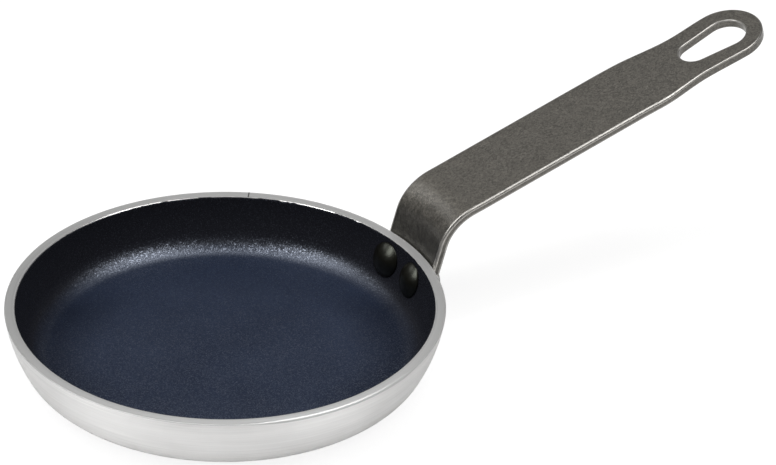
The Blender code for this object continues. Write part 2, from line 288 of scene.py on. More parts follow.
def smooth(share):
    """0 to 1 with a soft start and end, held at both ends."""
    share = min(max(share, 0.0), 1.0)
    return share * share * (3 - 2 * share)


def arc(centre, radius, start, end, steps):
    """Points on an arc, with both ends."""
    return [(centre[0] + radius * math.cos(angle), centre[1] + radius * math.sin(angle))
            for angle in spread(start, end, steps)]


def level_direction(bearing):
    """The level unit direction at a bearing."""
    turn = math.radians(bearing)
    return (math.cos(turn), math.sin(turn), 0.0)


def out_of(slope):
    """The outward normal, as (radius, height), of a wall face that rises outward at the slope."""
    return Vector((math.sin(slope), -math.cos(slope)))


def new_object(name, data, *materials):
    item = bpy.data.objects.new(name, data)
    bpy.context.scene.collection.objects.link(item)
    for material in materials:
        data.materials.append(material)
    return item


# Node materials

class Finish:
    """A node material with one surface shader, and short calls for the nodes that feed it."""

    def __init__(self, name, **values):
        self.material = bpy.data.materials.new(name)
        self.material.use_nodes = True
        self.tree = self.material.node_tree
        self.shader = self.tree.nodes["Principled BSDF"]
        self.feed(**values)

    def feed(self, **values):
        """Sets or links the shader's sockets, each named with underscores."""
        for name, value in values.items():
            self.put(self.shader.inputs[name.replace("_", " ").title().replace("Ior", "IOR")], value)
        return self.material

    def node(self, kind, **settings):
        node = self.tree.nodes.new(kind)
        for key, value in settings.items():
            setattr(node, key, value)
        return node

    def put(self, socket, value):
        """Links an output to the socket, or sets a plain value on it."""
        if isinstance(value, bpy.types.NodeSocket):
            self.tree.links.new(value, socket)
        else:
            socket.default_value = value

    def coords(self):
        return self.node("ShaderNodeTexCoord").outputs["Object"]

    def place(self, scale=(1, 1, 1)):
        """Object coordinates, scaled."""
        mapping = self.node("ShaderNodeMapping")
        self.put(mapping.inputs["Vector"], self.coords())
        self.put(mapping.inputs["Scale"], scale)
        return mapping.outputs["Vector"]

    def split(self, vector):
        """A vector's three parts."""
        node = self.node("ShaderNodeSeparateXYZ")
        self.put(node.inputs[0], vector)
        return node.outputs

    def height(self):
        """Height above the surface that the pan stands on."""
        return self.split(self.coords())[2]

    def along(self, direction):
        """How far a place lies from the origin along a unit direction."""
        node = self.node("ShaderNodeVectorMath", operation='DOT_PRODUCT')
        self.put(node.inputs[0], self.coords())
        self.put(node.inputs[1], direction)
        return node.outputs["Value"]

    def radius(self):
        """Distance from the Z axis."""
        node = self.node("ShaderNodeVectorMath", operation='LENGTH')
        self.put(node.inputs[0], self.place((1, 1, 0)))
        return node.outputs["Value"]

    def nick(self, bearing, half_width):
        """1 in a narrow radial line at one bearing, 0 elsewhere."""
        beside = self.math("ABSOLUTE", self.along(level_direction(bearing + 90)))
        ahead = self.math("GREATER_THAN", self.along(level_direction(bearing)), 0.0)
        return self.times(ahead, self.fall(beside, half_width, 2 * half_width))

    def rings(self, round_scale, across_scale):
        """Coordinates that change slowly round the Z axis and quickly along the radius."""
        parts = self.split(self.coords())
        node = self.node("ShaderNodeCombineXYZ")
        self.put(node.inputs[0], self.times(parts[0], round_scale))
        self.put(node.inputs[1], self.times(parts[1], round_scale))
        self.put(node.inputs[2], self.times(self.radius(), across_scale))
        return node.outputs[0]

    def math(self, operation, first, second=0.0):
        node = self.node("ShaderNodeMath", operation=operation)
        self.put(node.inputs[0], first)
        self.put(node.inputs[1], second)
        return node.outputs[0]

    def times(self, first, second):
        return self.math("MULTIPLY", first, second)

    def plus(self, first, second):
        return self.math("ADD", first, second)

    def blend(self, first, second, share):
        """A value between two values, with this share of the first."""
        return self.plus(self.times(first, share), self.times(second, 1 - share))

    def noise(self, place, scale, detail=2.0, roughness=0.5):
        node = self.node("ShaderNodeTexNoise")
        self.put(node.inputs["Vector"], place)
        self.put(node.inputs["Scale"], scale)
        self.put(node.inputs["Detail"], detail)
        self.put(node.inputs["Roughness"], roughness)
        return node.outputs["Fac"]

    def cells(self, place, scale):
        """Random cells: each cell's three random values as a colour."""
        node = self.node("ShaderNodeTexVoronoi")
        self.put(node.inputs["Vector"], place)
        self.put(node.inputs["Scale"], scale)
        return node.outputs["Color"]

    def part(self, color, index):
        node = self.node("ShaderNodeSeparateColor")
        self.put(node.inputs[0], color)
        return node.outputs[index]

    def range(self, value, low, high, to_low=0.0, to_high=1.0):
        node = self.node("ShaderNodeMapRange", clamp=True)
        self.put(node.inputs["Value"], value)
        self.put(node.inputs["From Min"], low)
        self.put(node.inputs["From Max"], high)
        self.put(node.inputs["To Min"], to_low)
        self.put(node.inputs["To Max"], to_high)
        return node.outputs[0]

    def fall(self, value, low, high):
        """1 up to the low value, falling to 0 at the high one."""
        return self.range(value, low, high, 1.0, 0.0)

    def grade(self, noise, to_low=0.0, to_high=1.0):
        """Most of a noise, carried to a range."""
        return self.range(noise, NOISE_LOW, NOISE_HIGH, to_low, to_high)

    def mix(self, share, first, second):
        """A colour between two colours."""
        node = self.node("ShaderNodeMix", data_type="RGBA")
        self.put(node.inputs[0], share)
        for socket, color in ((node.inputs[6], first), (node.inputs[7], second)):
            self.put(socket, color if isinstance(color, bpy.types.NodeSocket) else (*color, 1.0))
        return node.outputs[2]

    def bump(self, height, distance, strength):
        node = self.node("ShaderNodeBump")
        self.put(node.inputs["Height"], height)
        self.put(node.inputs["Distance"], distance)
        self.put(node.inputs["Strength"], strength)
        return node.outputs[0]

    def tilt(self, color, amount):
        """The surface normal, leaned a little in the direction that a random colour gives."""
        offset = self.node("ShaderNodeVectorMath", operation='MULTIPLY_ADD')
        self.put(offset.inputs[0], color)
        self.put(offset.inputs[1], (2 * amount,) * 3)
        self.put(offset.inputs[2], (-amount,) * 3)
        total = self.node("ShaderNodeVectorMath", operation='ADD')
        self.put(total.inputs[0], self.node("ShaderNodeNewGeometry").outputs["Normal"])
        self.put(total.inputs[1], offset.outputs[0])
        unit = self.node("ShaderNodeVectorMath", operation='NORMALIZE')
        self.put(unit.inputs[0], total.outputs[0])
        return unit.outputs[0]

    def brush_round(self, amount):
        """Brushed in rings about the Z axis: reflections spread across the rings, not along them."""
        tangent = self.node("ShaderNodeTangent", direction_type='RADIAL', axis='Z').outputs[0]
        self.feed(tangent=tangent, anisotropic=amount, anisotropic_rotation=0.25)


def brushed_wall():
    """Aluminium brushed in level rings, with a few finer scratches."""
    finish = Finish("brushed_aluminium", metallic=1.0)
    finish.brush_round(amount=0.85)
    lines = finish.noise(finish.place((9, 9, 900)), scale=3.0, detail=4.0, roughness=0.6)
    broad = finish.noise(finish.place((14, 14, 90)), scale=3.0)
    color = finish.mix(finish.grade(finish.blend(lines, broad, share=0.6)), *WALL_COLORS)
    return finish.feed(base_color=color, roughness=finish.grade(lines, *WALL_ROUGHNESS),
                       normal=finish.bump(lines, distance=0.02 * MM, strength=0.6))


def machined_rim():
    """Aluminium turned flat, with very fine rings, a nick, a bare inner lip and painted light that makes it
    lighter toward one side.
    """
    finish = Finish("machined_aluminium", metallic=1.0)
    finish.brush_round(amount=0.2)
    lines = finish.noise(finish.rings(8, 2500), scale=1.0, detail=3.0, roughness=0.6)
    # Painted light: the rim is lighter toward this side
    side = finish.range(finish.along(RIM_PAINTED_LIGHT_TOWARD), -PAN_RADIUS, PAN_RADIUS)
    color = finish.mix(finish.blend(finish.grade(lines), side, RIM_LINES_SHARE), *RIM_COLORS)
    color = finish.mix(finish.nick(NICK_BEARING, NICK_HALF_WIDTH), color, NICK_COLOR)
    lip = PAN_RADIUS - RIM_WIDTH + LIP_WORN
    low = finish.fall(finish.height(), PAN_HEIGHT - BARE_LIP_DEPTH, PAN_HEIGHT - BARE_LIP_START)
    bare = finish.times(low, finish.fall(finish.radius(), lip, lip + BARE_LIP_BLEND))
    color = finish.mix(bare, color, BARE_LIP_COLOR)
    smoother = finish.times(bare, BARE_LIP_SMOOTHER)
    rough = finish.math("SUBTRACT", finish.grade(lines, *RIM_ROUGHNESS), smoother)
    return finish.feed(base_color=color, roughness=rough,
                       normal=finish.bump(lines, distance=0.01 * MM, strength=0.6))


def coating():
    """Blue-black coating with very fine flakes, shiny where its corner is rubbed. Its floor is lighter and
    bluer than its wall, partly by painted sheen of the flakes, and has painted shade toward the wall beyond
    the rubbed stretch.
    """
    finish = Finish("nonstick_coating", ior=2.0, specular_tint=COATING_SHEEN_TINT)
    flakes = finish.cells(finish.place(), scale=4200)
    cloud = finish.noise(finish.place(), scale=45, detail=3.0)
    across = finish.math("ABSOLUTE", finish.along(RUBBED_ACROSS))
    beside = finish.math("ABSOLUTE", finish.along(RUBBED_BESIDE))
    rubbed = finish.times(finish.range(finish.height(), FLOOR_THICKNESS, RUBBED_FROM),
                          finish.range(finish.height(), RUBBED_END, RUBBED_TO))
    rubbed = finish.times(rubbed, finish.range(across, *RUBBED_REACH, *RUBBED_SHINE))
    rubbed = finish.times(rubbed, finish.range(beside, *MIDDLE_REACH, *MIDDLE_SHINE))
    shine = finish.plus(rubbed, LEAST_SHINE)
    glint = finish.math("POWER", finish.part(flakes, 1), GLINT_SHARPNESS)
    glitter = finish.plus(finish.times(glint, GLINT_GAIN), GLITTER_BASE)
    level = finish.plus(finish.times(shine, glitter), finish.times(glint, GLINT_UNRUBBED))
    tone = finish.blend(cloud, finish.part(flakes, 0), share=0.6)
    floor = finish.mix(finish.range(tone, *FLOOR_TONES), *COATED_FLOOR_AND_SHEEN_COLORS)
    # Painted shade on the floor toward the wall, beyond the rubbed stretch
    shaded_ends = finish.times(finish.range(finish.radius(), *PAINTED_SHADE_RADII, 0.0, PAINTED_SHADE_SHARE),
                        finish.fall(across, *PAINTED_SHADE_REACH))
    floor = finish.mix(shaded_ends, floor, PAINTED_SHADE_FLOOR_COLOR)
    # The floor's painted flake sheen gives way to the wall's colour up the wall
    up_wall = finish.range(finish.height(), FLOOR_THICKNESS, WALL_TONE_FROM)
    return finish.feed(base_color=finish.mix(up_wall, floor, COATED_WALL_COLOR), specular_ior_level=level,
                       roughness=finish.range(finish.part(flakes, 2), 0.0, 1.0, *COATING_ROUGHNESS),
                       normal=finish.tilt(flakes, amount=0.10))


def bar_finish(name, dark, light, tilt, rough, highlight_gain=1.0):
    """Speckled baked finish with a metallic sheen under a thin clear skin, with painted shade, blotchy, low
    on the bar near the pan.

    Edges that slope up get a painted highlight, lighter by the given factor.
    """
    finish = Finish(name, metallic=0.95, coat_weight=0.8, coat_roughness=0.3)
    speckles = finish.cells(finish.place(), scale=2500)
    grain = finish.noise(finish.place(), scale=2000, detail=3.0, roughness=0.7)
    cloud = finish.noise(finish.place(), scale=260, detail=3.0, roughness=0.6)
    blotch = finish.noise(finish.place(), scale=800, detail=3.0, roughness=0.6)
    tone = finish.blend(finish.part(speckles, 0), grain, share=0.4)
    color = finish.mix(finish.range(tone, *SPECKLE_TONES), dark, light)
    # Painted shade, blotchy, low on the bar near the pan
    shaded_foot = finish.mix(finish.range(blotch, *BLOTCH_TONES),
                          tuple(PAINTED_SHADE_DARKER * part for part in dark),
                          tuple(PAINTED_SHADE_LIGHTER * part for part in dark))
    shade_edge = finish.plus(finish.times(finish.height(), SHADE_EDGE_PER_HEIGHT), finish.times(cloud, SHADE_EDGE_CLOUD))
    color = finish.mix(finish.fall(shade_edge, PAINTED_SHADE_UP_TO, PAINTED_SHADE_GONE_FROM), color, shaded_foot)
    # Painted highlight: edges that slope up are made lighter
    if highlight_gain > 1.0:
        upward = finish.split(finish.node("ShaderNodeNewGeometry").outputs["Normal"])[2]
        level_side, highlight_from, highlight_to, top_side = HIGHLIGHT_SLOPES
        edge_share = finish.times(finish.range(upward, level_side, highlight_from),
                            finish.range(upward, top_side, highlight_to))
        color = finish.mix(edge_share, color, tuple(highlight_gain * part for part in light))
    roughness = finish.plus(finish.grade(cloud, rough, rough + ROUGHNESS_SPREAD),
                            finish.range(tone, *ROUGH_TONES, 0.0, ROUGHNESS_SPREAD))
    return finish.feed(base_color=color, roughness=roughness, normal=finish.tilt(speckles, tilt))


def dark_head():
    """Rivet head inside the pan, coated dark."""
    finish = Finish("coated_rivet", specular_ior_level=0.56, specular_tint=DARK_HEAD_SHEEN_TINT)
    grain = finish.noise(finish.place(), scale=1800)
    return finish.feed(base_color=finish.mix(finish.grade(grain), *DARK_HEAD_COLORS),
                       roughness=finish.grade(grain, *DARK_HEAD_ROUGHNESS),
                       normal=finish.bump(grain, distance=0.02 * MM, strength=0.12))


def bare_head():
    """Rivet head outside the pan, bare aluminium."""
    finish = Finish("bare_rivet", metallic=1.0)
    grain = finish.noise(finish.place(), scale=900, detail=3.0)
    return finish.feed(base_color=finish.mix(finish.grade(grain), *BARE_HEAD_COLORS),
                       roughness=finish.grade(grain, *BARE_HEAD_ROUGHNESS),
                       normal=finish.bump(grain, distance=0.02 * MM, strength=0.4))


# Turned shapes

class Wall:
    """One face of the wall: a wide arc from the top slope to the low slope, then a corner arc to level."""

    def __init__(self, top_radius, top_z, bottom_z, low_slope, corner_radius):
        join_z = bottom_z + corner_radius * (1 - math.cos(low_slope))
        self.radius = (top_z - join_z) / (math.cos(low_slope) - math.cos(WALL_TOP_SLOPE))
        self.centre = Vector((top_radius, top_z)) - out_of(WALL_TOP_SLOPE) * self.radius
        self.top_z = top_z
        self.low_slope = low_slope
        self.corner_radius = corner_radius
        self.corner_centre = self.centre + out_of(low_slope) * (self.radius - corner_radius)

    def profile(self, inward, below_top, steps):
        """Points (radius, height) from the top to the flat's edge, moved inward off the face."""
        wide_steps, corner_steps = steps
        first_slope = math.acos((self.centre.y - self.top_z + below_top) / self.radius)
        points = [self.centre + out_of(slope) * (self.radius - inward)
                  for slope in spread(first_slope, self.low_slope, wide_steps)]
        points += [self.corner_centre + out_of(slope) * (self.corner_radius - inward)
                   for slope in spread(self.low_slope, 0.0, corner_steps)[1:]]
        return points


OUTER_WALL = Wall(PAN_RADIUS, PAN_HEIGHT - RIM_EDGE_RADIUS, 0.0, WALL_LOW_SLOPE, BASE_CORNER_RADIUS)
INNER_WALL = Wall(PAN_RADIUS - RIM_WIDTH, PAN_HEIGHT, FLOOR_THICKNESS, INNER_LOW_SLOPE, INNER_CORNER_RADIUS)


def joined(stretches):
    """One profile from stretches of (material index, points): its points, with an index for each."""
    points = []
    kinds = []
    for index, stretch in stretches:
        for radius, height in stretch:
            if points and (Vector((radius, height)) - points[-1]).length < MERGE:
                continue
            points.append(Vector((radius, height)))
            kinds.append(index)
    return points, kinds


def turned(name, stretches, steps, *materials):
    """A solid of revolution about Z. Each stretch is (material index, points from axis to axis in order)."""
    points, kinds = joined(stretches)
    return round_skin(name, [points] * steps, kinds, *materials)


def round_skin(name, profiles, kinds, *materials):
    """A closed skin about Z from one profile for each step round it, with a material index for each point."""
    steps = len(profiles)
    turns = [2 * math.pi * k / steps for k in range(steps)]
    shape = bmesh.new()
    rows = []
    for row, (first_radius, first_height) in enumerate(profiles[0]):
        if first_radius < MERGE:
            rows.append([shape.verts.new((0, 0, first_height))] * steps)
            continue
        ring = []
        for turn, profile in zip(turns, profiles):
            radius, height = profile[row]
            ring.append(shape.verts.new((radius * math.cos(turn), radius * math.sin(turn), height)))
        rows.append(ring)
    for row, (here, there) in enumerate(zip(rows, rows[1:])):
        for k in range(steps):
            corners = [here[k], here[(k + 1) % steps], there[(k + 1) % steps], there[k]]
            corners = [vert for i, vert in enumerate(corners) if vert not in corners[:i]]
            face = shape.faces.new(corners)
            face.material_index = kinds[row + 1]
            face.smooth = True
    bmesh.ops.recalc_face_normals(shape, faces=shape.faces)
    mesh = bpy.data.meshes.new(name)
    shape.to_mesh(mesh)
    shape.free()
    return new_object(name, mesh, *materials)


def in_stretch(degrees, start, end, run):
    """1 along a stretch of the rim and 0 outside it, with a soft run at each end."""
    return smooth((degrees - start) / run) * smooth((end - degrees) / run)


def rim_edge_radius(degrees):
    degrees -= 360 if degrees > 180 else 0
    soft = in_stretch(degrees, SOFT_EDGE_FROM, SOFT_EDGE_TO, SOFT_EDGE_RUN)
    return RIM_EDGE_CRISP + (RIM_EDGE_SOFT - RIM_EDGE_CRISP) * soft


def lip_radius(degrees):
    edge_share = in_stretch(degrees, WORN_LIP_FROM, WORN_LIP_TO, WORN_LIP_RUN)
    return LIP_CRISP + (LIP_WORN - LIP_CRISP) * edge_share


def pan_stretches(edge, lip):
    """The pan's profile from the middle of the floor, up the inside, over the rim and down to the base.

    The edge and the lip are the radii of the rim's outer and inner edge.
    """
    inner_r = PAN_RADIUS - RIM_WIDTH
    inside = [(0.0, FLOOR_THICKNESS), (FLAT_RING_RADIUS, FLOOR_THICKNESS)]
    inside += INNER_WALL.profile(0.0, lip, INNER_WALL_STEPS)[::-1]
    lip_arc = arc((inner_r + lip, PAN_HEIGHT - lip), lip, math.pi, math.pi / 2, LIP_STEPS)
    outside = OUTER_WALL.profile(0.0, max(edge - RIM_EDGE_RADIUS, 0.0), OUTER_WALL_STEPS)
    outer_r = outside[0][0] - edge
    flat = [(inner_r + RIM_INNER_RING, PAN_HEIGHT), (outer_r - RIM_OUTER_RING, PAN_HEIGHT)]
    edge_arc = arc((outer_r, PAN_HEIGHT - edge), edge, math.pi / 2, 0.0, RIM_EDGE_STEPS)
    under = [(outside[-1][0] - BASE_RING, 0.0), (FLAT_RING_RADIUS, 0.0), (0.0, 0.0)]
    return [(1, inside), (1, lip_arc), (1, flat), (1, edge_arc), (0, outside[1:]), (1, under)]


def build_pan():
    profiles = []
    for k in range(TURN_STEPS):
        degrees = 360 * k / TURN_STEPS
        points, kinds = joined(pan_stretches(rim_edge_radius(degrees), lip_radius(degrees)))
        profiles.append(points)
    return round_skin("pan_shell", profiles, kinds, brushed_wall(), machined_rim())


def coating_edge(degrees, chance):
    """How far below the rim the coating ends at a bearing."""
    for end, below in COATING_EDGE:
        if degrees <= end:
            return max(below + chance.uniform(-COATING_EDGE_JITTER, COATING_EDGE_JITTER), HAIR)
    return coating_edge(degrees - 360, chance)


def build_coating():
    chance = random.Random(COATING_EDGE_SEED)
    profiles = []
    for k in range(COATING_STEPS):
        below = coating_edge(360 * k / COATING_STEPS, chance)
        back = INNER_WALL.profile(HAIR, below, COATING_BACK_STEPS)
        face = INNER_WALL.profile(COATING_THICKNESS, below, COATING_FACE_STEPS)
        profiles.append([(0.0, face[-1][1])] + face[::-1] + back + [(0.0, back[-1][1])])
    return round_skin("coating", profiles, [0] * len(profiles[0]), coating())


# The handle's path in the XZ plane: the foot, the bend and the straight grip
FOOT_ALONG = Vector((math.cos(FOOT_SLOPE), math.sin(FOOT_SLOPE)))
FOOT_OUT = out_of(FOOT_SLOPE)
FOOT_SEAT = OUTER_WALL.centre + FOOT_OUT * (OUTER_WALL.radius + HAIR)
FOOT_MIDDLE = FOOT_SEAT + FOOT_OUT * BAR_THICKNESS / 2
CORNER = FOOT_MIDDLE + FOOT_ALONG * (BEND_HEIGHT - FOOT_MIDDLE.y) / FOOT_ALONG.y
TURN = FOOT_SLOPE - GRIP_SLOPE
CORNER_TO_BEND = BEND_RADIUS * math.tan(TURN / 2)
BEND_CENTRE = CORNER - FOOT_ALONG * CORNER_TO_BEND + FOOT_OUT * BEND_RADIUS
RIVET_POINT = FOOT_SEAT + FOOT_ALONG * (RIVET_HEIGHT - FOOT_SEAT.y) / FOOT_ALONG.y
RIVET_MIDDLE = RIVET_POINT + FOOT_OUT * BAR_THICKNESS / 2
FOOT_END = RIVET_MIDDLE - FOOT_ALONG * FOOT_BELOW_RIVETS
FOOT_LENGTH = (CORNER - FOOT_END).length - CORNER_TO_BEND
BEND_LENGTH = BEND_RADIUS * TURN
BEND_END = FOOT_LENGTH + BEND_LENGTH
ROLL_END = BEND_END + ROLL_RUNOUT
TIP_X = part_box("handle")[1].x - HAIR
GRIP_LENGTH = (TIP_X - BAR_THICKNESS / 2 * math.sin(GRIP_SLOPE) - CORNER.x) / math.cos(GRIP_SLOPE)
BLANK_LENGTH = BEND_END + GRIP_LENGTH - CORNER_TO_BEND
TIP_CENTRE = BLANK_LENGTH - TIP_RADIUS
WAIST_AT = BLANK_LENGTH - WAIST_FROM_TIP
SHOULDER_START = WAIST_AT - SHOULDER_LENGTH
CUTS_END = BLANK_LENGTH - SLOT_FROM_TIP - SLOT_LENGTH - CUTS_SHORT_OF_SLOT


def path_point(along):
    """The middle plane's point and upper normal at a length along the flat blank."""
    slope = FOOT_SLOPE - min(max((along - FOOT_LENGTH) / BEND_RADIUS, 0.0), TURN)
    straight = min(along - FOOT_LENGTH, 0.0) + max(along - BEND_END, 0.0)
    onward = Vector((math.cos(slope), math.sin(slope)))
    return BEND_CENTRE - out_of(slope) * BEND_RADIUS + onward * straight, -out_of(slope)


def bent(flat):
    """A point of the flat blank (along, across, height) carried to its place on the pan."""
    middle, normal = path_point(flat.x)
    place = middle + normal * flat.z
    angle = flat.y / middle.x
    rolled = Vector((place.x * math.cos(angle), place.x * math.sin(angle), place.y))
    level = Vector((place.x, flat.y, place.y))
    return rolled.lerp(level, smooth((flat.x - FOOT_LENGTH) / (BEND_LENGTH + ROLL_RUNOUT)))


def half_width(along):
    """Half the width of the blank at a length along it."""
    narrow = WAIST_WIDTH / 2
    if along <= WAIST_AT:
        return narrow + (BAR_WIDTH / 2 - narrow) * smooth((WAIST_AT - along) / SHOULDER_LENGTH)
    return narrow + (TIP_RADIUS - narrow) * smooth((along - WAIST_AT) / (TIP_CENTRE - WAIST_AT))


def offset(along):
    """How far toward -Y the waist and the tip lie from the bar's middle, where the end was punched."""
    onset = WAIST_OFFSET * smooth((along - SHOULDER_START + OFFSET_RUN / 2) / OFFSET_RUN)
    return onset + (TIP_OFFSET - WAIST_OFFSET) * smooth((along - WAIST_AT) / (TIP_CENTRE - WAIST_AT))


def outline():
    """The blank's outline, anticlockwise from the foot's lower corner."""
    corner_centre = (FOOT_CORNER_RADIUS, -BAR_WIDTH / 2 + FOOT_CORNER_RADIUS)
    side = arc(corner_centre, FOOT_CORNER_RADIUS, -math.pi, -math.pi / 2, OUTLINE_STEPS // 2)
    stations = spread(SHOULDER_START - OFFSET_RUN / 2, WAIST_AT, OUTLINE_STEPS)
    stations += spread(WAIST_AT, TIP_CENTRE, OUTLINE_STEPS // 2)[1:]
    side += [(along, -half_width(along)) for along in stations]
    side += arc((TIP_CENTRE, 0.0), TIP_RADIUS, -math.pi / 2, 0.0, OUTLINE_STEPS)[1:]
    return [(x, y - offset(x)) for x, y in side + [(x, -y) for x, y in side[-2::-1]]]


def slot_outline():
    """Two end arcs joined by the straight lines that touch both."""
    wide_at = BLANK_LENGTH - SLOT_FROM_TIP - SLOT_WIDE_RADIUS
    narrow_at = BLANK_LENGTH - SLOT_FROM_TIP - SLOT_LENGTH + SLOT_NARROW_RADIUS
    lean = math.asin((SLOT_WIDE_RADIUS - SLOT_NARROW_RADIUS) / (wide_at - narrow_at))
    up = math.pi / 2 + lean
    points = arc((wide_at, 0.0), SLOT_WIDE_RADIUS, -up, up, OUTLINE_STEPS)
    points += arc((narrow_at, 0.0), SLOT_NARROW_RADIUS, up, 2 * math.pi - up, OUTLINE_STEPS)
    return [(x, y - WAIST_OFFSET) for x, y in points]


def rivet_across(side):
    """How far across the bar's foot a rivet lies."""
    return side * RIVET_SPACING / 2 + RIVETS_OFFSET


def rivet_hole_outline(side):
    centre = (FOOT_BELOW_RIVETS, rivet_across(side))
    return arc(centre, RIVET_HOLE_RADIUS, 0.0, 2 * math.pi, HOLE_STEPS)[:-1]


def in_rivet_hole(place):
    off_middle = [Vector((place.x - FOOT_BELOW_RIVETS, place.y - rivet_across(side))) for side in (1, -1)]
    return min(off.length for off in off_middle) < RIVET_HOLE_RADIUS + HAIR


def flat_blank():
    """The flat blank's mesh, with its slot and its rivet holes."""
    curve = bpy.data.curves.new("blank", 'CURVE')
    curve.dimensions = '2D'
    curve.fill_mode = 'BOTH'
    curve.extrude = BAR_THICKNESS / 2
    for points in (outline(), slot_outline(), rivet_hole_outline(1), rivet_hole_outline(-1)):
        spline = curve.splines.new('POLY')
        spline.points.add(len(points) - 1)
        for point, (x, y) in zip(spline.points, points):
            point.co = (x, y, 0.0, 1.0)
        spline.use_cyclic_u = True
    blank = new_object("blank", curve)
    flat = blank.evaluated_get(bpy.context.evaluated_depsgraph_get())
    mesh = bpy.data.meshes.new_from_object(flat)
    bpy.data.objects.remove(blank)
    return mesh


def cut_across(shape, position, normal, reach):
    """Adds a line of vertices across the faces that lie below the reach along X."""
    faces = [face for face in shape.faces if face.calc_center_median().x < reach]
    edges = {edge for face in faces for edge in face.edges}
    verts = {vert for face in faces for vert in face.verts}
    bmesh.ops.bisect_plane(shape, geom=faces + list(edges) + list(verts), dist=MERGE,
                           plane_co=position, plane_no=normal)


def cut_stations(shape):
    """Adds the lines of vertices at which the blank bends, rolls and runs straight."""
    stations = spread(0.0, FOOT_LENGTH, FOOT_STEPS)[1:]
    stations += spread(FOOT_LENGTH, BEND_END, BEND_STEPS)[1:]
    stations += spread(BEND_END, ROLL_END, RUNOUT_STEPS)[1:]
    stations += spread(ROLL_END, CUTS_END, GRIP_STEPS)[1:]
    for along in stations:
        cut_across(shape, (along, 0, 0), (1, 0, 0), BLANK_LENGTH)
    for rows, reach in ((ROLL_STEPS, ROLL_END), (GRIP_ROWS, CUTS_END)):
        for across in spread(-BAR_WIDTH / 2, BAR_WIDTH / 2, rows)[1:-1]:
            cut_across(shape, (0, across, 0), (0, 1, 0), reach)


def weigh_edges(shape):
    """Marks how much of the bevel each edge takes: round on the bar stock, crisp where it is punched."""
    weight = shape.edges.layers.float.new("bevel_weight_edge")
    for edge in shape.edges:
        middle = (edge.verts[0].co + edge.verts[1].co) / 2
        if edge.calc_face_angle(0.0) < SHARP_ANGLE or in_rivet_hole(middle):
            continue
        punched = smooth(1.0 + (middle.x - WAIST_AT) / SHOULDER_LENGTH)
        straight = smooth((middle.x - BEND_END) / LOWER_EDGE_RUN)
        lower = BAR_EDGE_RADIUS + (BAR_LOWER_EDGE_RADIUS - BAR_EDGE_RADIUS) * straight
        if middle.z > 0:
            radius = BAR_EDGE_RADIUS + (PUNCHED_EDGE_RADIUS - BAR_EDGE_RADIUS) * punched
        else:
            radius = lower + (PUNCHED_LOWER_EDGE_RADIUS - lower) * punched
        edge[weight] = radius / BAR_EDGE_RADIUS


def build_handle():
    mesh = flat_blank()
    shape = bmesh.new()
    shape.from_mesh(mesh)
    bmesh.ops.remove_doubles(shape, verts=shape.verts, dist=MERGE)
    bmesh.ops.dissolve_limit(shape, angle_limit=LEVEL_ANGLE, verts=shape.verts, edges=shape.edges)
    cut_stations(shape)
    bmesh.ops.recalc_face_normals(shape, faces=shape.faces)
    weigh_edges(shape)
    for vert in shape.verts:
        vert.co = bent(vert.co)
    for face in shape.faces:
        face.smooth = True
    shape.to_mesh(mesh)
    shape.free()
    mesh.name = "handle_bar"
    # The rounded edges get the lighter finish: partly abraded, partly painted highlight
    item = new_object("handle_bar", mesh,
                      bar_finish("speckled_grey", *BAR_COLORS, tilt=0.08, rough=0.43),
                      bar_finish("speckled_grey_edge", *BAR_EDGE_ABRADED_AND_HIGHLIGHT_COLORS, tilt=0.015, rough=0.31, highlight_gain=1.6))
    bevel = item.modifiers.new("rounded_edges", 'BEVEL')
    bevel.width = BAR_EDGE_RADIUS
    bevel.segments = BEVEL_SEGMENTS
    bevel.limit_method = 'WEIGHT'
    bevel.use_clamp_overlap = False
    bevel.loop_slide = False
    bevel.material = 1
    item.modifiers.new("flat_faces_lead", 'WEIGHTED_NORMAL')
    return item


# Rivets

def rivet_frame(side):
    """The rivet's place: origin where its axis meets the foot's inner face, Z pointing outward."""
    angle = rivet_across(side) / RIVET_MIDDLE.x
    tilt = Matrix.Rotation(math.pi - FOOT_SLOPE, 4, 'Y')
    shift = Matrix.Translation((RIVET_POINT.x, 0.0, RIVET_POINT.y))
    return Matrix.Rotation(angle, 4, 'Z') @ shift @ tilt


def depth_to_coating():
    """How far the coating's face lies from the foot's inner face, along a rivet's axis."""
    from_centre = RIVET_POINT - INNER_WALL.centre
    ahead = from_centre.dot(FOOT_OUT)
    arc_radius = INNER_WALL.radius - COATING_THICKNESS
    return ahead - math.sqrt(ahead ** 2 - from_centre.length_squared + arc_radius ** 2)


def head_arc(base, top):
    """The dome from its edge at the base to the axis at the top, as (radius, distance out)."""
    rise = top - base
    sphere = (RIVET_HEAD_RADIUS ** 2 + rise ** 2) / (2 * rise)
    widest = math.asin(RIVET_HEAD_RADIUS / sphere)
    return [(sphere * math.sin(angle), top - sphere + sphere * math.cos(angle))
            for angle in spread(widest, 0.0, HEAD_STEPS)]


def build_rivet(name, side, inside_finish, outside_finish):
    outer_base = BAR_THICKNESS
    inner_base = depth_to_coating()
    wall_radius = RIVET_POINT.x - inner_base
    hollow = wall_radius - math.sqrt(wall_radius ** 2 - RIVET_HEAD_RADIUS ** 2)
    outer = head_arc(outer_base + RIVET_HEAD_EDGE, outer_base + OUTER_HEAD_HEIGHT)
    inner = head_arc(inner_base + hollow + RIVET_HEAD_EDGE, inner_base + RIVET_HEAD_HEIGHT)
    outside = outer[::-1] + [(RIVET_HEAD_RADIUS, outer_base), (RIVET_SHANK_RADIUS, outer_base)]
    inside = [(RIVET_SHANK_RADIUS, -inner_base), (RIVET_HEAD_RADIUS, -inner_base - hollow)]
    inside += [(r, -z) for r, z in inner]
    rivet = turned(name, [(0, outside), (1, inside)], RIVET_STEPS, outside_finish, inside_finish)
    rivet.matrix_world = rivet_frame(side)
    return rivet


